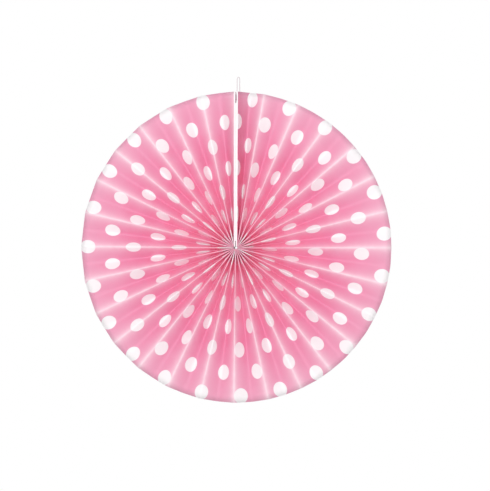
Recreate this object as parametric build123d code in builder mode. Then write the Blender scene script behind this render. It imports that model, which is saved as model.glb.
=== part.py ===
from build123d import *
import os
from math import asin, cos, hypot, pi, radians, sin, sqrt, tan

# A round paper fan: one printed strip of paper, pleated and opened to a full circle. The strip's first and
# last panels are stuck to stiff end cards, and foam tape joins the two cards into a thin fin at the top.
# The fan stands upright in the XZ plane, its front faces -Y, and the origin is at the middle of the hub.
# Plan points (x, z) are the fan seen from the front. Azimuths are measured at the hub, clockwise from
# straight up. Heights are measured towards the viewer, so a height is minus a Y coordinate.

# Driving dimensions, in millimetres and degrees
FAN_RADIUS = 202.6
PLEAT_WIDTH = 25.0
PAPER = 0.15
HUB_RADIUS = 2.6
CARD_THICKNESS = 1.4
CARD_DEPTH = 24.0
CARD_START = 0.5
TAPE_THICKNESS = 1.0
TAPE_WIDTH = 22.0
TAPE_START = 8.0
TAPE_END = 188.0
SPLAY = 0.35
FIN_TURN = 0.7
SEAM_SINK = 0.4
BINDING_RADIUS = 6.0
BINDING_THREAD = 0.6
BINDING_HOLE = 1.0
BINDING_KNOT = 0.9
LOOP_THREAD = 1.0
LOOP_HOLE = 3.2
LOOP_HOLE_Z = 192.0
LOOP_KNOT = 1.9

# The fan was opened by hand, so its fin is turned a little clockwise and its pleats are a little uneven: each
# run is a number of pleats and the angle that each of them takes up, clockwise from straight up. The last
# pleat takes what is left.
PLEAT_RUNS = ((1, 10.9), (4, 13.1), (3, 13.65), (19, 12.8))

# The paper's outline at a fold is straight between these stations, which are closer together near the hub,
# where the pleats spread fastest
STATIONS = 10
STATION_SPREAD = 1.6

# The loop's route in the fin's plane: from the knot between the cards, out through the hole in the right card, up,
# over the top, and down between the cards to the knot again
LOOP_ROUTE = (
    (-0.5, 192.6),
    (3.6, 193.0),
    (3.9, 199.6),
    (3.3, 208.0),
    (3.4, 215.5),
    (3.3, 221.9),
    (0.1, 221.9),
    (-0.1, 215.7),
    (0.0, 207.0),
    (-0.15, 200.0),
    (-0.5, 193.3),
)
LOOP_ARC_SHARE = 0.45

# Sizes that follow from them
HALF_PLEAT = PLEAT_WIDTH / 2
HALF_PAPER = PAPER / 2
SEAM_OFFSET = TAPE_THICKNESS / 2 + CARD_THICKNESS + HALF_PAPER
LAST_RIDGE = sum(count for count, _ in PLEAT_RUNS) + 1
LAST_CREASE = 2 * LAST_RIDGE
LEAN = radians(SPLAY)
TURN = radians(FIN_TURN)

os.makedirs("parts", exist_ok=True)


def on_circle(azimuth, radius):
    """Plan point at an azimuth in radians."""
    return radius * sin(azimuth), radius * cos(azimuth)


def between(start, end, share):
    """Plan point part of the way from start to end."""
    return tuple(a + (b - a) * share for a, b in zip(start, end))


def distance(start, end):
    """Distance between two plan points."""
    return hypot(end[0] - start[0], end[1] - start[1])


def rim_azimuths():
    """Azimuth in radians of each ridge at the rim, from the right card round to the left one."""
    start = asin(SEAM_OFFSET / FAN_RADIUS)
    angles = [TURN + start]
    reached = 0.0
    for count, span in PLEAT_RUNS:
        for _ in range(count):
            reached += span
            angles.append(radians(reached))
    return angles + [2 * pi + TURN - LEAN - start]


RIM_AZIMUTHS = rim_azimuths()


def hub_azimuth(ridge):
    """Azimuth of a ridge's inner end: the pleats share what the fin leaves free of the hub's circle."""
    start = asin(SEAM_OFFSET / HUB_RADIUS)
    share = (RIM_AZIMUTHS[ridge] - RIM_AZIMUTHS[0]) / (RIM_AZIMUTHS[-1] - RIM_AZIMUTHS[0])
    return TURN + start + share * (2 * pi - 2 * start - LEAN)


def ridge_plan(ridge, share):
    """Plan point of a front fold, which runs straight from the hub (share 0) to the rim (share 1)."""
    inner = on_circle(hub_azimuth(ridge), HUB_RADIUS)
    outer = on_circle(RIM_AZIMUTHS[ridge], FAN_RADIUS)
    return between(inner, outer, share)


def ridge_height(ridge, share):
    """Height of a front fold: it sinks as its pleat is pulled open, and hardly so beside the stiff cards."""
    if ridge in (0, LAST_RIDGE):
        return HALF_PLEAT - SEAM_SINK * share**2
    opened = distance(ridge_plan(ridge - 1, share), ridge_plan(ridge + 1, share)) / 4
    return sqrt(PLEAT_WIDTH**2 - opened**2) / 2


def valley_share(pleat, share):
    """How far a pleat's back fold lies from its first front fold to its second, in plan.

    Both of its panels are one pleat width wide, so the three folds make a triangle with two equal sides.
    """
    rise = ridge_height(pleat + 1, share) - ridge_height(pleat, share)
    chord = distance(ridge_plan(pleat, share), ridge_plan(pleat + 1, share))
    base = hypot(chord, rise)
    drop = sqrt(PLEAT_WIDTH**2 - (base / 2) ** 2)
    return 0.5 + drop * rise / base / chord


def valley_end(pleat, radius, share, first, second):
    """Inner or outer end of a pleat's back fold, between the azimuths of the front folds beside it."""
    return on_circle(first + (second - first) * valley_share(pleat, share), radius)


def crease_plan(crease, share):
    """Plan point of a fold. The even folds are front folds, and the odd ones are back folds."""
    pleat = crease // 2
    if crease % 2 == 0:
        return ridge_plan(pleat, share)
    inner = valley_end(pleat, HUB_RADIUS, 0, hub_azimuth(pleat), hub_azimuth(pleat + 1))
    outer = valley_end(pleat, FAN_RADIUS, 1, RIM_AZIMUTHS[pleat], RIM_AZIMUTHS[pleat + 1])
    return between(inner, outer, share)


def panel_chord(panel, share):
    """Width of a panel in plan, between its two folds."""
    return distance(crease_plan(panel, share), crease_plan(panel + 1, share))


def crease_height(crease, share):
    """Height of a fold's middle line. A back fold lies one pleat width from the front folds beside it."""
    if crease % 2 == 0:
        return ridge_height(crease // 2, share)
    beside = ((crease // 2, crease - 1), (crease // 2 + 1, crease))
    return sum(
        ridge_height(ridge, share) - sqrt(PLEAT_WIDTH**2 - panel_chord(panel, share) ** 2)
        for ridge, panel in beside
    ) / len(beside)


def fold_section(crease, share):
    """Heights of the paper's front and back at a fold.

    The fold's outside stands half the paper's thickness proud. Its inside is as deep as leaves the panels
    beside it one thickness of paper, which near the hub means that they lie against each other.
    """
    panels = [panel for panel in (crease - 1, crease) if 0 <= panel < LAST_CREASE]
    upright = sum(PAPER * PLEAT_WIDTH / panel_chord(panel, share) for panel in panels) / len(panels)
    upright = min(upright, PLEAT_WIDTH)
    height = crease_height(crease, share)
    if crease % 2 == 0:
        return height + HALF_PAPER, height + HALF_PAPER - upright
    return height - HALF_PAPER + upright, height - HALF_PAPER


def crease_profiles(crease):
    """Front and back outline of the paper along a fold, each from hub to rim."""
    reach = distance(crease_plan(crease, 0), crease_plan(crease, 1))
    shares = [(step / (STATIONS - 1)) ** STATION_SPREAD for step in range(STATIONS)]
    sections = [fold_section(crease, share) for share in shares]
    front = [(reach * share, section[0]) for share, section in zip(shares, sections)]
    back = [(reach * share, section[1]) for share, section in zip(shares, sections)]
    return front, back


def crease_plane(crease):
    """Upright plane through a fold, x from its inner to its outer end and y towards the viewer."""
    inner = crease_plan(crease, 0)
    outer = crease_plan(crease, 1)
    along = (outer[0] - inner[0], 0, outer[1] - inner[1])
    return Plane(origin=(inner[0], 0, inner[1]), x_dir=along, z_dir=(along[2], 0, -along[0]))


def end_panel(crease):
    """An end panel of the strip: it lies flat on its card, from the seam's front fold to the fan's back."""
    front = [(along, height + HALF_PAPER) for along, height in crease_profiles(crease)[0]]
    reach = front[-1][0]
    with BuildSketch(crease_plane(crease)) as panel:
        with BuildLine():
            Polyline(*front, (reach, -HALF_PLEAT), (0, -HALF_PLEAT), close=True)
        make_face()
    extrude(panel.sketch, amount=HALF_PAPER, both=True)


def fin_plane(lean=0.0):
    """Plane of the fan at half depth, seen from the front, with its y along the fin or leaning left of it."""
    left = lean - TURN
    return Plane(origin=(0, 0, 0), x_dir=(cos(left), 0, sin(left)), z_dir=(0, -1, 0))


def turn_angle(before, corner, after):
    """Angle in radians by which a route turns at a corner."""
    incoming = Vector(corner[0] - before[0], corner[1] - before[1], 0)
    outgoing = Vector(after[0] - corner[0], after[1] - corner[1], 0)
    return radians(incoming.get_angle(outgoing))


def arc_radii(route):
    """Radius of the arc at each inner corner of a route, as large as its two runs allow."""
    return [
        LOOP_ARC_SHARE
        * min(distance(before, corner), distance(corner, after))
        / tan(turn_angle(before, corner, after) / 2)
        for before, corner, after in zip(route, route[1:], route[2:])
    ]


# The tunnel for the centre thread, round the hub at half depth
with BuildPart() as binding_tunnel:
    Torus(BINDING_RADIUS, BINDING_HOLE / 2, rotation=(90, 0, 0))

# Pleated paper: lofted from fold to fold round the hub, with the two end panels on the cards
with BuildPart() as pleated_paper:
    for crease in range(LAST_CREASE + 1):
        front, back = crease_profiles(crease)
        with BuildSketch(crease_plane(crease)):
            with BuildLine():
                Polyline(*front, *reversed(back), close=True)
            make_face()
    loft(ruled=True)
    end_panel(0)
    end_panel(LAST_CREASE)
    with Locations(fin_plane().location * Location((SEAM_OFFSET + HALF_PAPER, LOOP_HOLE_Z, 0), (0, 90, 0))):
        Hole(LOOP_HOLE / 2, depth=PAPER)
    add(binding_tunnel.part, mode=Mode.SUBTRACT)
pleated_paper.part.label = "pleated_paper"

# Right end card: stands along the fin, with the punched hole for the hanging loop
with BuildPart() as right_end_card:
    with BuildSketch(fin_plane()):
        with Locations((TAPE_THICKNESS / 2, CARD_START)):
            Rectangle(CARD_THICKNESS, FAN_RADIUS - CARD_START, align=(Align.MIN, Align.MIN))
    extrude(amount=CARD_DEPTH / 2, both=True)
    with Locations(fin_plane().location * Location((SEAM_OFFSET, LOOP_HOLE_Z, 0), (0, 90, 0))):
        Hole(LOOP_HOLE / 2)
    add(binding_tunnel.part, mode=Mode.SUBTRACT)
right_end_card.part.label = "right_end_card"

# Left end card: leans away from the right one, because the tape's pull opens the seam towards the rim
with BuildPart() as left_end_card:
    with BuildSketch(fin_plane(LEAN)):
        with Locations((-TAPE_THICKNESS / 2, CARD_START)):
            Rectangle(CARD_THICKNESS, FAN_RADIUS - CARD_START, align=(Align.MAX, Align.MIN))
    extrude(amount=CARD_DEPTH / 2, both=True)
    add(binding_tunnel.part, mode=Mode.SUBTRACT)
left_end_card.part.label = "left_end_card"

# Foam tape: fills the gap between the cards, and stops short of the rim
with BuildPart() as foam_tape:
    with BuildSketch(fin_plane()):
        with BuildLine():
            right = TAPE_THICKNESS / 2
            left_edges = [
                (-right / cos(LEAN) - along * tan(LEAN), along) for along in (TAPE_START, TAPE_END)
            ]
            Polyline((right, TAPE_START), (right, TAPE_END), left_edges[1], left_edges[0], close=True)
        make_face()
    extrude(amount=TAPE_WIDTH / 2, both=True)
foam_tape.part.label = "foam_tape"

# Centre thread: a ring through every panel and both cards, with its knot between the cards
with BuildPart() as centre_thread:
    Torus(BINDING_RADIUS, BINDING_THREAD / 2, rotation=(90, 0, 0))
    with Locations(fin_plane().from_local_coords(Vector(0, BINDING_RADIUS, 0))):
        Sphere(BINDING_KNOT / 2)
centre_thread.part.label = "centre_thread"

# Hanging loop: a thread through the hole in the right card, with its two ends knotted between the cards
loop_radii = arc_radii(LOOP_ROUTE)
with BuildPart() as hanging_loop:
    with BuildLine(fin_plane()):
        route = FilletPolyline(*LOOP_ROUTE, radius=loop_radii)
    with BuildSketch(Plane(origin=route @ 0, z_dir=route % 0)):
        Circle(LOOP_THREAD / 2)
    sweep()
    loop_volume = hanging_loop.part.volume
    with Locations(Location(route @ 0)):
        Sphere(LOOP_KNOT / 2)
hanging_loop.part.label = "hanging_loop"

print("loop radii", [round(radius, 2) for radius in loop_radii])
print("loop length", round(route.length, 2))
print("loop volume", round(loop_volume, 2), "of", round(pi * (LOOP_THREAD / 2) ** 2 * route.length, 2))

for piece in (pleated_paper, right_end_card, left_end_card, foam_tape, centre_thread, hanging_loop):
    export_step(piece.part, f"parts/{piece.part.label}.step")
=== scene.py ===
"""Looks of a round hanging paper fan.

One printed strip of paper is pleated, opened to a full circle and glued to two end cards, with foam tape
between the cards and a thread loop to hang the fan by. The fan stands upright in the XZ plane with its
printed front towards -Y, and every size is in metres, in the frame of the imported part.

Plan points (x, z) are the fan seen from the front. Azimuths are measured at the hub, clockwise from
straight up. Heights are measured towards the viewer, so a height is minus a Y coordinate. A place on the
flat strip is (u, v): u runs clockwise from the right seam fold, one pleat width for each crease, and v is
the distance from the middle of the hub.
"""

import logging
import math
from dataclasses import dataclass, field
from enum import Enum
from functools import cached_property

import bmesh
import bpy
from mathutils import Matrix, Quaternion, Vector, noise

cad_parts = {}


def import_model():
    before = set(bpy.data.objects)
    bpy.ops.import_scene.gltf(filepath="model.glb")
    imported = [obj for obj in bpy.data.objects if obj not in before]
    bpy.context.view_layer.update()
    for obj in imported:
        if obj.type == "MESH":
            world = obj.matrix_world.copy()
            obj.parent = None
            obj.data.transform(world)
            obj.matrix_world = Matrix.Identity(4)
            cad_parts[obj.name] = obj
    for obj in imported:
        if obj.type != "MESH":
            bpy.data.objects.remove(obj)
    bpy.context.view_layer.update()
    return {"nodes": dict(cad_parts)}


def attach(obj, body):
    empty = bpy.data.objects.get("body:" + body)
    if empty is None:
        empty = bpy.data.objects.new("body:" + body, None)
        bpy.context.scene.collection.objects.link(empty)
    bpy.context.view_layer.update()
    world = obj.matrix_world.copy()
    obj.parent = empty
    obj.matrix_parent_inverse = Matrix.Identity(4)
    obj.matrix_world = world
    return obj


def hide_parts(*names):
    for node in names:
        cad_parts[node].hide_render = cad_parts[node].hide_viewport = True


LOG = logging.getLogger("paper_fan")
MILLIMETRE = 0.001
STRIP_MAP = "Strip"

Plan = tuple[float, float]
Colour = tuple[float, float, float, float]


class Slot(Enum):
    """Material slots of the record that new pieces take their finish from."""

    PRINTED_PAPER = "printed_paper"
    THREAD = "thread"


class Fold(Enum):
    """Which way a crease of the strip is folded."""

    RIDGE = "ridge"
    VALLEY = "valley"
    SEAM = "seam"


def linear(code: str) -> Colour:
    """Turns an sRGB hex value into the linear colour that Blender's sockets hold.

    Args:
        code: Six hex digits, such as "F59ABB".

    Returns:
        Red, green, blue and an alpha of 1.
    """
    channels = [int(code[start : start + 2], 16) / 255 for start in (0, 2, 4)]
    linear_channels = [
        channel / 12.92 if channel <= 0.04045 else ((channel + 0.055) / 1.055) ** 2.4
        for channel in channels
    ]
    return (*linear_channels, 1.0)


def add_node(
    tree: bpy.types.NodeTree,
    kind: str,
    settings: dict[str | int, object] | None = None,
    links: dict[str | int, bpy.types.NodeSocket] | None = None,
) -> bpy.types.Node:
    """Adds a node with its settings and links.

    Args:
        tree: Node tree of a material or world.
        kind: Node type without its "ShaderNode" prefix.
        settings: Values by attribute name, or by an input's name or number.
        links: Output sockets by the name or number of the input that each feeds.

    Returns:
        The new node.
    """
    node = tree.nodes.new(f"ShaderNode{kind}")
    for key, value in (settings or {}).items():
        if isinstance(key, str) and hasattr(node, key):
            setattr(node, key, value)
        else:
            node.inputs[key].default_value = value
    for key, socket in (links or {}).items():
        tree.links.new(socket, node.inputs[key])
    return node


def new_material(name: str) -> tuple[bpy.types.Material, bpy.types.NodeTree]:
    """Makes an empty node material.

    Args:
        name: Name of the material.

    Returns:
        The material and its empty node tree.
    """
    material = bpy.data.materials.new(name)
    material.use_nodes = True
    material.node_tree.nodes.clear()
    return material, material.node_tree


def dress(piece: bpy.types.Object, material: bpy.types.Material) -> None:
    """Gives every material slot of a piece one material."""
    if not piece.material_slots:
        piece.data.materials.append(material)
    for slot in piece.material_slots:
        slot.material = material


def add_object(name: str, data: bpy.types.Mesh | bpy.types.Curve) -> bpy.types.Object:
    """Puts a mesh or curve in the scene, at the origin.

    Args:
        name: Name of the object and of its data.
        data: The mesh or curve.

    Returns:
        The new object.
    """
    data.name = name
    piece = bpy.data.objects.new(name, data)
    bpy.context.scene.collection.objects.link(piece)
    return piece


def between(start: Plan, end: Plan, share: float) -> Plan:
    """Plan point part of the way from start to end."""
    return start[0] + (end[0] - start[0]) * share, start[1] + (end[1] - start[1]) * share


def on_circle(azimuth: float, radius: float) -> Plan:
    """Plan point at an azimuth in radians."""
    return radius * math.sin(azimuth), radius * math.cos(azimuth)


@dataclass(frozen=True)
class PrintedPaper:
    """Coated 120 g/m2 poster paper, offset printed in pink and creased.

    The coat gives a faint satin sheen, the dots are bare paper, and the front folds are pale, partly from
    ink rubbed off the creases and partly from a painted highlight on the rounded crests. The paler colour
    at the hub
    and the rim is painted light, not ink: at the hub it makes up for light that doesn't reach into the
    closed pleats here, and at the rim it is painted brightness on the wide open panels. These, the folds'
    reach and strength and the light let through are fitted to tones, not known.
    """

    ink: str = "F592BA"
    ink_light: str = "F69AC0"
    # Painted light: much paler towards the hub, for the light that doesn't reach into the closed pleats
    painted_light_at_hub: str = "FFC8DF"
    # Painted light: paler towards the rim, brightening the wide open panels
    painted_light_at_rim: str = "F0B0CA"
    hub_span_mm: tuple[float, float] = (20.0, 125.0)
    rim_span_mm: tuple[float, float] = (85.0, 200.0)
    fold_span_mm: tuple[float, float] = (15.0, 105.0)
    hub_fold_share: float = 0.40
    first_fold_mm: tuple[float, float] = (8.0, 18.0)
    bare: str = "FDFBFC"
    # Partly ink rubbed off the creases, partly a painted highlight along the front folds
    fold_rub_and_highlight_colour: str = "FFEFF5"
    let_through: float = 0.55
    strip_length: float = 1.450
    strip_start: float = -0.025
    pleat_mm: float = 25.0
    dot_pitch_mm: float = 60.0
    dot_row_mm: float = 44.0
    dot_radius_mm: float = 10.0
    dot_edge_mm: float = 0.35
    fold_share: float = 1.0
    fold_evenness: float = 0.8
    noise_span: tuple[float, float] = (0.3, 0.7)
    fold_reach_mm: float = 6.0
    mottle_mm: float = 9.0
    fibre_mm: float = 0.7

    def strip_place(self, tree: bpy.types.NodeTree) -> bpy.types.NodeSocket:
        """Millimetres along and up the flat strip.

        Args:
            tree: Node tree of the material.

        Returns:
            A vector socket with u and v.
        """
        own_map = add_node(tree, "UVMap", {"uv_map": STRIP_MAP})
        return add_node(
            tree,
            "Mapping",
            {
                "Location": (self.strip_start / MILLIMETRE, 0.0, 0.0),
                "Scale": (self.strip_length / MILLIMETRE, self.strip_length / MILLIMETRE, 1.0),
            },
            {"Vector": own_map.outputs["UV"]},
        ).outputs["Vector"]

    def dots(self, tree: bpy.types.NodeTree, place: bpy.types.NodeSocket) -> bpy.types.NodeSocket:
        """Round bare dots on a staggered square grid.

        Args:
            tree: Node tree of the material.
            place: Socket with u and v in millimetres.

        Returns:
            A socket that is 1 in a dot and 0 in the ink.
        """
        half = self.dot_pitch_mm / 2
        parts = add_node(tree, "SeparateXYZ", links={"Vector": place})
        along = add_node(
            tree, "Math", {"operation": "PINGPONG", 1: half}, {0: parts.outputs["X"]}
        )
        risen = add_node(
            tree, "Math", {"operation": "SUBTRACT", 1: self.dot_row_mm}, {0: parts.outputs["Y"]}
        )
        across = add_node(tree, "Math", {"operation": "PINGPONG", 1: half}, {0: risen.outputs[0]})
        cell = add_node(
            tree, "CombineXYZ", links={"X": along.outputs[0], "Y": across.outputs[0]}
        )
        corner = add_node(
            tree, "VectorMath", {"operation": "DISTANCE", 1: (0.0, 0.0, 0.0)}, {0: cell.outputs[0]}
        )
        middle = add_node(
            tree, "VectorMath", {"operation": "DISTANCE", 1: (half, half, 0.0)}, {0: cell.outputs[0]}
        )
        nearest = add_node(
            tree,
            "Math",
            {"operation": "MINIMUM"},
            {0: corner.outputs["Value"], 1: middle.outputs["Value"]},
        )
        return add_node(
            tree,
            "MapRange",
            {
                "interpolation_type": "SMOOTHSTEP",
                "From Min": self.dot_radius_mm + self.dot_edge_mm / 2,
                "From Max": self.dot_radius_mm - self.dot_edge_mm / 2,
            },
            {"Value": nearest.outputs[0]},
        ).outputs["Result"]

    def fold_rub_and_painted_highlight(self, tree: bpy.types.NodeTree, place: bpy.types.NodeSocket) -> bpy.types.NodeSocket:
        """Paleness along the front folds, partly ink rubbed off the crease and partly a painted highlight:
        strongest on the fold and gone within a few millimetres.

        Args:
            tree: Node tree of the material.
            place: Socket with u and v in millimetres.

        Returns:
            A socket with the share by which the ink is turned pale, by rubbing and by the painted
            highlight.
        """
        parts = add_node(tree, "SeparateXYZ", links={"Vector": place})
        off_fold = add_node(
            tree, "Math", {"operation": "PINGPONG", 1: self.pleat_mm}, {0: parts.outputs["X"]}
        )
        reach = add_node(
            tree, "Math", {"operation": "DIVIDE", 1: -self.fold_reach_mm}, {0: off_fold.outputs[0]}
        )
        falloff = add_node(tree, "Math", {"operation": "EXPONENT"}, {0: reach.outputs[0]})
        uneven = add_node(
            tree,
            "TexNoise",
            {"Scale": 1 / self.mottle_mm, "Detail": 3.0, "Roughness": 0.6},
            {"Vector": place},
        )
        strength = add_node(
            tree,
            "MapRange",
            {
                "From Min": self.noise_span[0],
                "From Max": self.noise_span[1],
                "To Min": self.fold_share * self.fold_evenness,
                "To Max": self.fold_share,
            },
            {"Value": uneven.outputs[0]},
        )
        # The first fold gets neither the rubbed paleness nor the painted highlight, as it is seen to; why
        # isn't known
        reached = add_node(
            tree,
            "MapRange",
            {"From Min": self.first_fold_mm[0], "From Max": self.first_fold_mm[1]},
            {"Value": parts.outputs["X"]},
        )
        spread = add_node(
            tree,
            "Math",
            {"operation": "MULTIPLY"},
            {0: reached.outputs["Result"], 1: strength.outputs["Result"]},
        )
        # The paleness grows towards the rim as the painted highlight broadens
        graded = add_node(
            tree,
            "Math",
            {"operation": "MULTIPLY"},
            {
                0: self.outward(tree, place, self.fold_span_mm, (self.hub_fold_share, 1.0)),
                1: spread.outputs[0],
            },
        )
        return add_node(
            tree,
            "Math",
            {"operation": "MULTIPLY"},
            {0: falloff.outputs[0], 1: graded.outputs[0]},
        ).outputs[0]

    def outward(
        self,
        tree: bpy.types.NodeTree,
        place: bpy.types.NodeSocket,
        span_mm: tuple[float, float],
        ends: tuple[float, float],
    ) -> bpy.types.NodeSocket:
        """A share that changes evenly from the hub out to the rim.

        Args:
            tree: Node tree of the material.
            place: Socket with u and v in millimetres.
            span_mm: Distances from the middle of the hub between which it changes.
            ends: The share at those two distances.

        Returns:
            The share's socket.
        """
        parts = add_node(tree, "SeparateXYZ", links={"Vector": place})
        return add_node(
            tree,
            "MapRange",
            {
                "From Min": span_mm[0],
                "From Max": span_mm[1],
                "To Min": ends[0],
                "To Max": ends[1],
            },
            {"Value": parts.outputs["Y"]},
        ).outputs["Result"]

    def material(self) -> bpy.types.Material:
        """Builds the paper's printed side.

        Returns:
            The material.
        """
        made, tree = new_material("coated_poster_paper_pink_offset_print")
        place = self.strip_place(tree)
        mottle = add_node(
            tree, "TexNoise", {"Scale": 1 / self.mottle_mm, "Detail": 2.0}, {"Vector": place}
        )
        ink = add_node(
            tree,
            "Mix",
            {"data_type": "RGBA", 6: linear(self.ink), 7: linear(self.ink_light)},
            {0: mottle.outputs[0]},
        )
        # Painted light: paler towards the rim, where the panels open wide
        painted_light_toward_rim = add_node(
            tree,
            "Mix",
            {"data_type": "RGBA", 7: linear(self.painted_light_at_rim)},
            {0: self.outward(tree, place, self.rim_span_mm, (0.0, 1.0)), 6: ink.outputs[2]},
        )
        # Painted light: much paler towards the hub, for the light the closed pleats keep out
        painted_light_toward_hub = add_node(
            tree,
            "Mix",
            {"data_type": "RGBA", 7: linear(self.painted_light_at_hub)},
            {0: self.outward(tree, place, self.hub_span_mm, (1.0, 0.0)), 6: painted_light_toward_rim.outputs[2]},
        )
        # Pale front folds: rubbed ink and painted highlight
        with_fold_highlights = add_node(
            tree,
            "Mix",
            {"data_type": "RGBA", 7: linear(self.fold_rub_and_highlight_colour)},
            {0: self.fold_rub_and_painted_highlight(tree, place), 6: painted_light_toward_hub.outputs[2]},
        )
        printed = add_node(
            tree,
            "Mix",
            {"data_type": "RGBA", 7: linear(self.bare)},
            {0: self.dots(tree, place), 6: with_fold_highlights.outputs[2]},
        )
        fibre = add_node(
            tree,
            "TexNoise",
            {"Scale": 1 / self.fibre_mm, "Detail": 2.0, "Roughness": 0.5},
            {"Vector": place},
        )
        bump = add_node(
            tree,
            "Bump",
            {"Strength": 0.12, "Distance": 0.02 * MILLIMETRE},
            {"Height": fibre.outputs[0]},
        )
        satin = add_node(
            tree, "MapRange", {"To Min": 0.40, "To Max": 0.50}, {"Value": fibre.outputs[0]}
        )
        shader = add_node(
            tree,
            "BsdfPrincipled",
            {"IOR": 1.5, "Coat Weight": 0.12, "Coat Roughness": 0.32},
            {
                "Base Color": printed.outputs[2],
                "Roughness": satin.outputs["Result"],
                "Normal": bump.outputs["Normal"],
            },
        )
        glow = add_node(tree, "BsdfTranslucent", links={"Color": printed.outputs[2]})
        sheet = add_node(
            tree, "MixShader", {0: self.let_through}, {1: shader.outputs[0], 2: glow.outputs[0]}
        )
        add_node(tree, "OutputMaterial", links={"Surface": sheet.outputs[0]})
        return made


@dataclass(frozen=True)
class BarePaper:
    """The same paper's unprinted back: uncoated and matt, with the ink showing through as a blush."""

    sheet: str = "FDFBFC"
    blush: str = "FDF0F4"
    let_through: float = 0.55
    fibre_mm: float = 0.9

    def material(self, print_side: PrintedPaper) -> bpy.types.Material:
        """Builds the paper's back.

        Args:
            print_side: The printed side, whose dots stay white through the sheet.

        Returns:
            The material.
        """
        made, tree = new_material("uncoated_paper_back")
        place = print_side.strip_place(tree)
        through = add_node(
            tree,
            "Mix",
            {"data_type": "RGBA", 6: linear(self.blush), 7: linear(self.sheet)},
            {0: print_side.dots(tree, place)},
        )
        fibre = add_node(
            tree, "TexNoise", {"Scale": 1 / self.fibre_mm, "Detail": 3.0}, {"Vector": place}
        )
        bump = add_node(
            tree,
            "Bump",
            {"Strength": 0.2, "Distance": 0.02 * MILLIMETRE},
            {"Height": fibre.outputs[0]},
        )
        matt = add_node(
            tree, "MapRange", {"To Min": 0.68, "To Max": 0.8}, {"Value": fibre.outputs[0]}
        )
        shader = add_node(
            tree,
            "BsdfPrincipled",
            {"IOR": 1.5, "Specular IOR Level": 0.3},
            {
                "Base Color": through.outputs[2],
                "Roughness": matt.outputs["Result"],
                "Normal": bump.outputs["Normal"],
            },
        )
        glow = add_node(tree, "BsdfTranslucent", links={"Color": through.outputs[2]})
        sheet = add_node(
            tree, "MixShader", {0: self.let_through}, {1: shader.outputs[0], 2: glow.outputs[0]}
        )
        add_node(tree, "OutputMaterial", links={"Surface": sheet.outputs[0]})
        return made


@dataclass(frozen=True)
class LinedBoard:
    """White-lined duplex board, 1.4 mm, guillotined: matt, with the pulp's flecks and faint plies."""

    face: str = "F8F0F4"
    pulp: str = "EDE8E4"
    fleck_mm: float = 0.8
    ply_mm: float = 0.35

    def material(self) -> bpy.types.Material:
        """Builds the board.

        Returns:
            The material.
        """
        made, tree = new_material("white_lined_board_guillotined")
        own = add_node(tree, "TexCoord")
        flecks = add_node(
            tree,
            "TexNoise",
            {"Scale": 1 / (self.fleck_mm * MILLIMETRE), "Detail": 4.0, "Roughness": 0.65},
            {"Vector": own.outputs["Object"]},
        )
        plies = add_node(
            tree,
            "TexWave",
            {
                "wave_type": "BANDS",
                "bands_direction": "X",
                "Scale": math.pi / 10 / (self.ply_mm * MILLIMETRE),
                "Distortion": 1.5,
                "Detail": 2.0,
            },
            {"Vector": own.outputs["Object"]},
        )
        share = add_node(
            tree,
            "Math",
            {"operation": "MULTIPLY"},
            {0: flecks.outputs[0], 1: plies.outputs["Fac"]},
        )
        colour = add_node(
            tree,
            "Mix",
            {"data_type": "RGBA", 6: linear(self.face), 7: linear(self.pulp)},
            {0: share.outputs[0]},
        )
        bump = add_node(
            tree,
            "Bump",
            {"Strength": 0.3, "Distance": 0.04 * MILLIMETRE},
            {"Height": flecks.outputs[0]},
        )
        shader = add_node(
            tree,
            "BsdfPrincipled",
            {"IOR": 1.5, "Roughness": 0.75, "Specular IOR Level": 0.3},
            {"Base Color": colour.outputs[2], "Normal": bump.outputs["Normal"]},
        )
        add_node(tree, "OutputMaterial", links={"Surface": shader.outputs[0]})
        return made


@dataclass(frozen=True)
class ClosedCellFoam:
    """White polyethylene foam tape, slit: soft and matt, with closed cells that show as shallow pits,
    painted a greyer shade.
    """

    wall: str = "F4EEF0"
    pit_shade: str = "E6E5E2"
    cell_mm: float = 0.35

    def material(self) -> bpy.types.Material:
        """Builds the foam.

        Returns:
            The material.
        """
        made, tree = new_material("polyethylene_foam_tape_slit")
        own = add_node(tree, "TexCoord")
        cells = add_node(
            tree,
            "TexVoronoi",
            {"Scale": 1 / (self.cell_mm * MILLIMETRE), "feature": "F1"},
            {"Vector": own.outputs["Object"]},
        )
        # Painted shade: the pits are greyer than the cell walls
        colour = add_node(
            tree,
            "Mix",
            {"data_type": "RGBA", 6: linear(self.pit_shade), 7: linear(self.wall)},
            {0: cells.outputs["Distance"]},
        )
        bump = add_node(
            tree,
            "Bump",
            {"Strength": 0.4, "Distance": 0.05 * MILLIMETRE},
            {"Height": cells.outputs["Distance"]},
        )
        shader = add_node(
            tree,
            "BsdfPrincipled",
            {"IOR": 1.49, "Roughness": 0.7},
            {"Base Color": colour.outputs[2], "Normal": bump.outputs["Normal"]},
        )
        add_node(tree, "OutputMaterial", links={"Surface": shader.outputs[0]})
        return made


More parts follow.
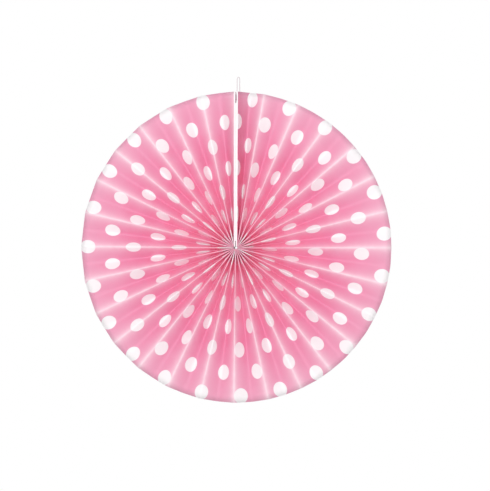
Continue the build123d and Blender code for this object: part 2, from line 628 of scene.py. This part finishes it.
@dataclass(frozen=True)
class CottonThread:
    """Bleached cotton thread, three plies twisted: matt and slightly fuzzy, with slanting grooves. Its
    tones are greyed with painted shade, and the grooves are darker still.
    """

    shaded_crest: str = "E8DDE1"
    groove_shade: str = "BFB3B8"
    ply_mm: float = 0.8

    def material(self) -> bpy.types.Material:
        """Builds the thread.

        Returns:
            The material.
        """
        made, tree = new_material("bleached_cotton_thread_twisted")
        own = add_node(tree, "TexCoord")
        turned = add_node(
            tree,
            "Mapping",
            {"Rotation": (0.0, math.radians(35.0), 0.0)},
            {"Vector": own.outputs["Object"]},
        )
        plies = add_node(
            tree,
            "TexWave",
            {
                "bands_direction": "Z",
                "Scale": math.pi / 10 / (self.ply_mm * MILLIMETRE),
                "Distortion": 0.6,
                "Detail": 2.0,
            },
            {"Vector": turned.outputs["Vector"]},
        )
        # Painted shade: the whole thread is greyed, and the grooves are darker
        colour = add_node(
            tree,
            "Mix",
            {"data_type": "RGBA", 6: linear(self.groove_shade), 7: linear(self.shaded_crest)},
            {0: plies.outputs["Fac"]},
        )
        bump = add_node(
            tree,
            "Bump",
            {"Strength": 0.6, "Distance": 0.1 * MILLIMETRE},
            {"Height": plies.outputs["Fac"]},
        )
        shader = add_node(
            tree,
            "BsdfPrincipled",
            {"IOR": 1.5, "Roughness": 0.85, "Sheen Weight": 0.3, "Sheen Roughness": 0.5},
            {"Base Color": colour.outputs[2], "Normal": bump.outputs["Normal"]},
        )
        add_node(tree, "OutputMaterial", links={"Surface": shader.outputs[0]})
        return made


@dataclass(frozen=True)
class PleatPlan:
    """Where each fold of the opened fan lies, by the same rules as the CAD part."""

    radius: float = 0.2026
    pleat_width: float = 0.025
    hub_radius: float = 0.0026
    seam_offset: float = 0.001975
    seam_sink: float = 0.0004
    lean: float = math.radians(0.35)
    turn: float = math.radians(0.7)
    runs: tuple[tuple[int, float], ...] = ((1, 10.9), (4, 13.1), (3, 13.65), (19, 12.8))

    @property
    def last_ridge(self) -> int:
        """Number of the left seam's front fold."""
        return sum(count for count, _ in self.runs) + 1

    @property
    def last_crease(self) -> int:
        """Number of the left seam's crease."""
        return 2 * self.last_ridge

    @cached_property
    def rim_azimuths(self) -> tuple[float, ...]:
        """Azimuth of each front fold at the rim, from the right card round to the left one."""
        start = math.asin(self.seam_offset / self.radius)
        angles = [self.turn + start]
        reached = 0.0
        for count, span in self.runs:
            for _ in range(count):
                reached += span
                angles.append(math.radians(reached))
        return (*angles, 2 * math.pi + self.turn - self.lean - start)

    @cached_property
    def hub_azimuths(self) -> tuple[float, ...]:
        """Azimuth of each front fold's inner end."""
        start = math.asin(self.seam_offset / self.hub_radius)
        rim = self.rim_azimuths
        free = 2 * math.pi - 2 * start - self.lean
        first = self.turn + start
        return tuple(first + (azimuth - rim[0]) / (rim[-1] - rim[0]) * free for azimuth in rim)

    def on_fin(self, place: Plan) -> Vector:
        """Point of the row frame for a place in the fin's plane, at half the fan's depth."""
        across, up = place
        sine, cosine = math.sin(self.turn), math.cos(self.turn)
        return Vector((across * cosine + up * sine, 0.0, up * cosine - across * sine))

    def ridge_plan(self, ridge: int, share: float) -> Plan:
        """Plan point of a front fold, from the hub (share 0) to the rim (share 1)."""
        inner = on_circle(self.hub_azimuths[ridge], self.hub_radius)
        return between(inner, on_circle(self.rim_azimuths[ridge], self.radius), share)

    def ridge_height(self, ridge: int, share: float) -> float:
        """Height of a front fold, which sinks as its pleat is pulled open.

        Args:
            ridge: Number of the front fold.
            share: Place from the hub (0) to the rim (1).

        Returns:
            The height of the paper's middle.
        """
        if ridge in (0, self.last_ridge):
            return self.pleat_width / 2 - self.seam_sink * share**2
        before = self.ridge_plan(ridge - 1, share)
        opened = math.dist(before, self.ridge_plan(ridge + 1, share)) / 4
        return math.sqrt(self.pleat_width**2 - opened**2) / 2

    def valley_share(self, pleat: int, share: float) -> float:
        """How far a back fold lies from its first front fold to its second, in plan.

        Args:
            pleat: Number of the pleat.
            share: Place from the hub (0) to the rim (1).

        Returns:
            The share, near a half.
        """
        rise = self.ridge_height(pleat + 1, share) - self.ridge_height(pleat, share)
        chord = math.dist(self.ridge_plan(pleat, share), self.ridge_plan(pleat + 1, share))
        base = math.hypot(chord, rise)
        drop = math.sqrt(self.pleat_width**2 - (base / 2) ** 2)
        return 0.5 + drop * rise / base / chord

    def crease_plan(self, crease: int, share: float) -> Plan:
        """Plan point of a crease. The even ones are front folds, and the odd ones are back folds.

        Args:
            crease: Number of the crease.
            share: Place from the hub (0) to the rim (1).

        Returns:
            The plan point.
        """
        pleat = crease // 2
        if crease % 2 == 0:
            return self.ridge_plan(pleat, share)
        ends = []
        for azimuths, radius, end in (
            (self.hub_azimuths, self.hub_radius, 0),
            (self.rim_azimuths, self.radius, 1),
        ):
            first, second = azimuths[pleat], azimuths[pleat + 1]
            azimuth = first + (second - first) * self.valley_share(pleat, end)
            ends.append(on_circle(azimuth, radius))
        return between(*ends, share)

    def crease_height(self, crease: int, share: float) -> float:
        """Height of a crease's middle. A back fold lies one pleat width from the front folds beside it.

        Args:
            crease: Number of the crease.
            share: Place from the hub (0) to the rim (1).

        Returns:
            The height of the paper's middle.
        """
        if crease % 2 == 0:
            return self.ridge_height(crease // 2, share)
        here = self.crease_plan(crease, share)
        heights = []
        for ridge in (crease // 2, crease // 2 + 1):
            chord = math.dist(here, self.ridge_plan(ridge, share))
            fall = math.sqrt(self.pleat_width**2 - chord**2)
            heights.append(self.ridge_height(ridge, share) - fall)
        return sum(heights) / 2

    def crease_point(self, crease: int, share: float) -> Vector:
        """Point of a crease in the row frame.

        The two end panels' outer creases are their cut edges, straight behind the seam's folds.

        Args:
            crease: Number of the crease, from -1 to one past the last.
            share: Place from the hub (0) to the rim (1).

        Returns:
            The point.
        """
        on_strip = min(max(crease, 0), self.last_crease)
        x, z = self.crease_plan(on_strip, share)
        height = self.crease_height(on_strip, share)
        if crease != on_strip:
            height -= self.pleat_width
        return Vector((x, -height, z))

    def fold(self, crease: int) -> Fold:
        """Which way a crease is folded."""
        if crease in (0, self.last_crease):
            return Fold.SEAM
        return Fold.VALLEY if crease % 2 else Fold.RIDGE


@dataclass
class PleatedPaper:
    """The printed strip: creased, pleated and opened to a full circle, with its end panels on the cards."""

    plan: PleatPlan = field(default_factory=PleatPlan)
    printed: PrintedPaper = field(default_factory=PrintedPaper)
    bare: BarePaper = field(default_factory=BarePaper)
    thickness: float = 0.00015
    # Distances from a crease at which the strip is divided
    steps: tuple[float, ...] = (0.0, 0.00009, 0.0002, 0.0005, 0.0011, 0.002, 0.0032, 0.0052, 0.0082)
    rows: int = 34
    row_spread: float = 1.5
    # A fold's half width is a little more than the paper, and grows with the panel's width in plan
    fold_least: float = 0.00015
    fold_growth: dict[Fold, float] = field(
        default_factory=lambda: {Fold.RIDGE: 0.10, Fold.VALLEY: 0.24, Fold.SEAM: 0.02}
    )
    sheet_gap: float = 0.0005
    cockle: float = 0.00045
    cockle_length: float = 0.055
    hole_radius: float = 0.0016
    hole_distance: float = 0.192
    hole_along: float = -0.0125

    def columns(self) -> list[float]:
        """Distances along the strip at which it is divided.

        Returns:
            Every u, from the cut edge of the right end panel to that of the left one.
        """
        width = self.plan.pleat_width
        found = set()
        for panel in range(-1, self.plan.last_crease + 1):
            start = panel * width
            near = [start + step for step in self.steps]
            far = [start + width - step for step in self.steps]
            found.update(round(place, 7) for place in (*near, start + width / 2, *far))
        side = self.hole_radius
        found.update(round(self.hole_along + side * share, 7) for share in (-1, -0.5, 0.5, 1))
        return sorted(found)

    def row_distances(self) -> list[float]:
        """Distances from the hub at which the strip is divided, closest near the hub.

        Returns:
            Every v, from the hub to the rim.
        """
        inner, reach = self.plan.hub_radius, self.plan.radius - self.plan.hub_radius
        evenly = [inner + reach * (row / self.rows) ** self.row_spread for row in range(self.rows + 1)]
        side = self.hole_radius
        hole = [self.hole_distance + side * share for share in (-1, -0.5, 0, 0.5, 1)]
        clear = [
            distance
            for distance in evenly
            if not hole[0] - side < distance < hole[-1] + side or distance == evenly[-1]
        ]
        return sorted(round(distance, 7) for distance in (*clear, *hole))

    def panel_point(self, row: list[Vector], crease: int, part: float) -> Vector:
        """Point on a flat panel, kept clear of its neighbours where the pleats lie close at the hub.

        Args:
            row: Every crease's point at one distance from the hub, from crease -1 on.
            crease: Number of the crease where the panel starts.
            part: Place across the panel, from 0 to 1.

        Returns:
            The point.
        """
        start, end = row[crease + 1], row[crease + 2]
        chord = math.hypot(end.x - start.x, end.z - start.z)
        least = min(self.sheet_gap / chord, 0.5) if chord > 1e-6 else 0.5
        sideways = min(max(part, least), 1 - least)
        point = start.lerp(end, sideways)
        point.y = start.y + (end.y - start.y) * part
        return point

    def folded(self, row: list[Vector], along: float) -> Vector:
        """Where a place on the flat strip lies once the fan is folded and opened.

        Args:
            row: Every crease's point at one distance from the hub, from crease -1 on.
            along: Distance along the strip.

        Returns:
            The point of the paper's middle, before it cockles.
        """
        width, last = self.plan.pleat_width, self.plan.last_crease
        crease = round(along / width)
        off = along - crease * width
        if not 0 <= crease <= last:
            panel = min(max(math.floor(along / width), -1), last)
            return self.panel_point(row, panel, along / width - panel)
        here = row[crease + 1]
        chords = [math.hypot(here.x - row[at].x, here.z - row[at].z) for at in (crease, crease + 2)]
        half = self.fold_least + self.fold_growth[self.plan.fold(crease)] * max(chords)
        if abs(off) >= half:
            panel = crease if off > 0 else crease - 1
            return self.panel_point(row, panel, along / width - panel)
        before = self.panel_point(row, crease - 1, 1 - half / width)
        after = self.panel_point(row, crease, half / width)
        turn = (off + half) / (2 * half)
        return before * (1 - turn) ** 2 + here * (2 * turn * (1 - turn)) + after * turn**2

    def cockled(self, point: Vector, along: float, share: float) -> Vector:
        """Adds the slow waves of a handled sheet, which fade towards the hub and the stiff cards.

        Args:
            point: Point of the flat panel or fold.
            along: Distance along the strip.
            share: Place from the hub (0) to the rim (1).

        Returns:
            The point, moved towards or away from the viewer.
        """
        length = self.plan.last_crease * self.plan.pleat_width
        free = min(max(along, 0.0), max(length - along, 0.0)) / self.plan.pleat_width
        strength = self.cockle * share**2 * min(free, 1.0)
        wave = noise.noise(Vector((along, share * self.plan.radius, 0.0)) / self.cockle_length)
        return point + Vector((0.0, strength * wave, 0.0))

    def punch_hole(self, sheet: bmesh.types.BMesh, places: dict[int, tuple[float, float]]) -> None:
        """Punches the loop's hole through the right end panel.

        Args:
            sheet: The flat strip, with a block of four by four faces where the hole comes.
            places: Each vertex's distances along and up the strip, by index, which the hole's rim changes.
        """
        side = self.hole_radius + 1e-6
        block = [
            vertex
            for vertex in sheet.verts
            if abs(places[vertex.index][0] - self.hole_along) < side
            and abs(places[vertex.index][1] - self.hole_distance) < side
        ]
        inner = side * 0.75
        inside = [
            vertex
            for vertex in block
            if abs(places[vertex.index][0] - self.hole_along) < inner
            and abs(places[vertex.index][1] - self.hole_distance) < inner
        ]
        for vertex in set(block) - set(inside):
            offset = Vector(places[vertex.index]) - Vector((self.hole_along, self.hole_distance))
            rim = offset.normalized() * self.hole_radius
            places[vertex.index] = (self.hole_along + rim.x, self.hole_distance + rim.y)
        bmesh.ops.delete(sheet, geom=inside, context="VERTS")

    def mesh(self) -> bpy.types.Mesh:
        """Divides a flat strip, punches it and folds it.

        Returns:
            The paper's middle surface, with its flat places as a UV map.
        """
        columns, rows = self.columns(), self.row_distances()
        sheet = bmesh.new()
        bmesh.ops.create_grid(sheet, x_segments=len(columns) - 1, y_segments=len(rows) - 1, size=0.5)
        sheet.verts.ensure_lookup_table()
        places = {
            vertex.index: (
                columns[round((vertex.co.x + 0.5) * (len(columns) - 1))],
                rows[round((vertex.co.y + 0.5) * (len(rows) - 1))],
            )
            for vertex in sheet.verts
        }
        ordinal = sheet.verts.layers.int.new("ordinal")
        for vertex in sheet.verts:
            vertex[ordinal] = vertex.index
        self.punch_hole(sheet, places)
        strip_map = sheet.loops.layers.uv.new(STRIP_MAP)
        reach = self.plan.radius - self.plan.hub_radius
        for face in sheet.faces:
            face.smooth = True
            for loop in face.loops:
                along, up = places[loop.vert[ordinal]]
                start, length = self.printed.strip_start, self.printed.strip_length
                loop[strip_map].uv = ((along - start) / length, up / length)
        creases: dict[float, list[Vector]] = {}
        for vertex in sheet.verts:
            along, up = places[vertex[ordinal]]
            share = (up - self.plan.hub_radius) / reach
            if up not in creases:
                every = range(-1, self.plan.last_crease + 2)
                creases[up] = [self.plan.crease_point(crease, share) for crease in every]
            vertex.co = self.cockled(self.folded(creases[up], along), along, share)
        front = sum((face.normal.y for face in sheet.faces), 0.0)
        if front > 0:
            bmesh.ops.reverse_faces(sheet, faces=sheet.faces)
        made = bpy.data.meshes.new("pleated_paper")
        sheet.to_mesh(made)
        sheet.free()
        return made

    def build(self) -> bpy.types.Object:
        """Builds and dresses the paper.

        Returns:
            The piece that stands for the CAD paper.
        """
        piece = add_object("folded_paper", self.mesh())
        piece.data.materials.append(self.printed.material())
        piece.data.materials.append(self.bare.material(self.printed))
        thickness = piece.modifiers.new("Thickness", "SOLIDIFY")
        thickness.thickness = self.thickness
        thickness.offset = 0.0
        thickness.material_offset = 1
        thickness.material_offset_rim = 1
        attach(piece, "root")
        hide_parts("pleated_paper")
        LOG.info("folded paper: %d faces before its thickness", len(piece.data.polygons))
        return piece


@dataclass
class Fin:
    """The two end cards with the foam tape between them, and the thread that ties the hub."""

    board: LinedBoard = field(default_factory=LinedBoard)
    foam: ClosedCellFoam = field(default_factory=ClosedCellFoam)
    thread: CottonThread = field(default_factory=CottonThread)

    def build(self, nodes: dict[str, bpy.types.Object], thread: bpy.types.Material) -> None:
        """Dresses the CAD nodes of the fin.

        Args:
            nodes: The CAD nodes by name.
            thread: The thread's material.
        """
        board = self.board.material()
        for name in ("right_end_card", "left_end_card"):
            dress(nodes[name], board)
        dress(nodes["foam_tape"], self.foam.material())
        dress(nodes["centre_thread"], thread)
        LOG.info("fin: two cards, foam tape and centre thread dressed")


@dataclass
class HangingLoop:
    """A thread through the right card's hole, over the top and down between the cards to its knot."""

    plan: PleatPlan = field(default_factory=PleatPlan)
    # The loop's route in the fin's plane
    route: tuple[Plan, ...] = (
        (-0.0005, 0.1926),
        (0.0036, 0.1930),
        (0.0039, 0.1996),
        (0.0033, 0.2080),
        (0.0034, 0.2155),
        (0.0033, 0.2219),
        (0.0001, 0.2219),
        (-0.0001, 0.2157),
        (0.0000, 0.2070),
        (-0.00015, 0.2000),
        (-0.0005, 0.1933),
    )
    length: float = 0.0630
    thread_diameter: float = 0.0010
    knot_diameter: float = 0.0019

    def knot(self, thread: bpy.types.Material) -> bpy.types.Object:
        """Builds the small round knot that holds the loop's two ends between the cards.

        Args:
            thread: The thread's material.

        Returns:
            The knot.
        """
        lump = bmesh.new()
        bmesh.ops.create_icosphere(lump, subdivisions=4, radius=self.knot_diameter / 2)
        for vertex in lump.verts:
            turn = math.atan2(vertex.co.y, vertex.co.x)
            groove_shade = math.cos(3 * turn + vertex.co.z / self.knot_diameter * 5.0)
            vertex.co *= 0.94 + 0.06 * groove_shade
        for face in lump.faces:
            face.smooth = True
        bmesh.ops.translate(lump, verts=lump.verts, vec=self.plan.on_fin(self.route[0]))
        made = bpy.data.meshes.new("loop_knot")
        lump.to_mesh(made)
        lump.free()
        piece = add_object("loop_knot", made)
        dress(piece, thread)
        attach(piece, "root")
        return piece

    def build(self, thread: bpy.types.Material) -> bpy.types.Object:
        """Builds the loop along its route.

        Args:
            thread: The thread's material.

        Returns:
            The loop.
        """
        curve = bpy.data.curves.new("loop_thread", "CURVE")
        curve.dimensions = "3D"
        curve.resolution_u = 12
        curve.bevel_depth = self.thread_diameter / 2
        curve.bevel_resolution = 5
        curve.use_fill_caps = True
        spline = curve.splines.new("NURBS")
        spline.points.add(len(self.route) - 1)
        for point, place in zip(spline.points, self.route):
            point.co = (*self.plan.on_fin(place), 1.0)
        spline.order_u = 3
        spline.use_endpoint_u = True
        piece = add_object("loop_thread", curve)
        dress(piece, thread)
        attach(piece, "root")
        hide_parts("hanging_loop")
        tuple(self.plan.on_fin(self.route[0]))
        self.knot(thread)
        LOG.info("hanging loop: %.1f mm of thread", self.length / MILLIMETRE)
        return piece


@dataclass
class Studio:
    """Pale floor, one soft lamp, white surroundings and the camera."""

    floor_level: float = -0.50
    floor_colour: str = "F4F3F2"
    floor_half: float = 1.10
    floor_white: float = 0.6
    floor_middle: float = -0.40
    world_level: float = 0.75
    key_power: float = 20.0
    key_size: float = 1.6
    key_place: tuple[float, float, float] = (-0.15, -2.0, 0.45)
    camera_distance: float = 5.0
    camera_azimuth: float = math.radians(4.0)
    camera_elevation: float = math.radians(-1.0)
    camera_roll: float = math.radians(-0.35)
    aim: tuple[float, float, float] = (0.01155, 0.0, 0.0022)
    frame_height: float = 0.6402
    sensor: float = 36.0
    bounces: int = 32

    def floor(self) -> None:
        """Builds the floor, which the camera sees almost white but for the fan's shadow."""
        made, tree = new_material("matt_studio_floor")
        lit = add_node(
            tree,
            "BsdfPrincipled",
            {"Base Color": linear(self.floor_colour), "Roughness": 0.9, "Specular IOR Level": 0.1},
        )
        white = add_node(tree, "Emission", {"Strength": 1.0})
        seen = self.seen(tree)
        share = add_node(tree, "Math", {"operation": "MULTIPLY", 1: self.floor_white}, {0: seen})
        mixed = add_node(
            tree, "MixShader", links={0: share.outputs[0], 1: lit.outputs[0], 2: white.outputs[0]}
        )
        add_node(tree, "OutputMaterial", links={"Surface": mixed.outputs[0]})
        plate = bmesh.new()
        bmesh.ops.create_grid(plate, x_segments=2, y_segments=2, size=self.floor_half)
        bmesh.ops.translate(
            plate, verts=plate.verts, vec=(0.0, self.floor_middle, self.floor_level)
        )
        data = bpy.data.meshes.new("floor")
        plate.to_mesh(data)
        plate.free()
        piece = add_object("floor", data)
        dress(piece, made)

    def seen(self, tree: bpy.types.NodeTree) -> bpy.types.NodeSocket:
        """Socket that is 1 where the camera sees a surface, itself, in a mirror or through glass.

        Args:
            tree: Node tree of a material or world.

        Returns:
            The socket.
        """
        path = add_node(tree, "LightPath")
        mirrored = add_node(
            tree,
            "Math",
            {"operation": "MAXIMUM"},
            {0: path.outputs["Is Glossy Ray"], 1: path.outputs["Is Transmission Ray"]},
        )
        return add_node(
            tree,
            "Math",
            {"operation": "MAXIMUM"},
            {0: path.outputs["Is Camera Ray"], 1: mirrored.outputs[0]},
        ).outputs[0]

    def world(self) -> None:
        """Lights the surroundings evenly and shows them white."""
        world = bpy.data.worlds.new("studio_air")
        bpy.context.scene.world = world
        world.use_nodes = True
        tree = world.node_tree
        tree.nodes.clear()
        air = add_node(tree, "Background", {"Strength": self.world_level})
        white = add_node(tree, "Background", {"Strength": 1.0})
        mixed = add_node(
            tree,
            "MixShader",
            links={0: self.seen(tree), 1: air.outputs[0], 2: white.outputs[0]},
        )
        for background in (air, white):
            background.inputs["Color"].default_value = (1.0, 1.0, 1.0, 1.0)
        add_node(tree, "OutputWorld", links={"Surface": mixed.outputs[0]})

    def lamp(self, name: str, power: float, size: float, place: tuple[float, float, float]) -> None:
        """Adds a soft square lamp that faces the fan.

        Args:
            name: Name of the lamp.
            power: Watts.
            size: Side of the square.
            place: Where the lamp hangs.
        """
        data = bpy.data.lights.new(name, "AREA")
        data.energy, data.size = power, size
        lamp = bpy.data.objects.new(name, data)
        bpy.context.scene.collection.objects.link(lamp)
        lamp.location = place
        lamp.rotation_euler = (-Vector(place)).to_track_quat("-Z", "Y").to_euler()

    def camera(self) -> None:
        """Stands the camera a little to the right of the fan's axis, level with its hub."""
        data = bpy.data.cameras.new("camera")
        data.sensor_width = self.sensor
        data.lens = self.sensor * self.camera_distance / self.frame_height
        camera = bpy.data.objects.new("camera", data)
        bpy.context.scene.collection.objects.link(camera)
        level = math.cos(self.camera_elevation)
        away = Vector(
            (
                math.sin(self.camera_azimuth) * level,
                -math.cos(self.camera_azimuth) * level,
                math.sin(self.camera_elevation),
            )
        )
        camera.location = Vector(self.aim) + away * self.camera_distance
        level_view = (-away).to_track_quat("-Z", "Y")
        camera.rotation_euler = (level_view @ Quaternion((0, 0, 1), self.camera_roll)).to_euler()
        bpy.context.scene.camera = camera

    def build(self) -> None:
        """Builds the camera, the surroundings, the floor and the lamp."""
        bpy.context.scene.view_settings.view_transform = "Standard"
        # Light finds its way out of the deep, closely packed pleats at the hub only after many bounces
        bpy.context.scene.cycles.max_bounces = self.bounces
        bpy.context.scene.cycles.diffuse_bounces = self.bounces
        bpy.context.scene.cycles.transmission_bounces = self.bounces
        self.camera()
        self.world()
        self.floor()
        self.lamp("key_lamp", self.key_power, self.key_size, self.key_place)
        LOG.info("studio: camera %.2f m away", self.camera_distance)


def main() -> None:
    """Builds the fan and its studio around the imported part."""
    logging.basicConfig(level=logging.INFO, format="%(name)s: %(message)s")
    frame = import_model()
    Studio().build()
    fin = Fin()
    thread = fin.thread.material()
    HangingLoop().build(thread)
    PleatedPaper().build()
    fin.build(frame["nodes"], thread)


if __name__ == "__main__":
    main()
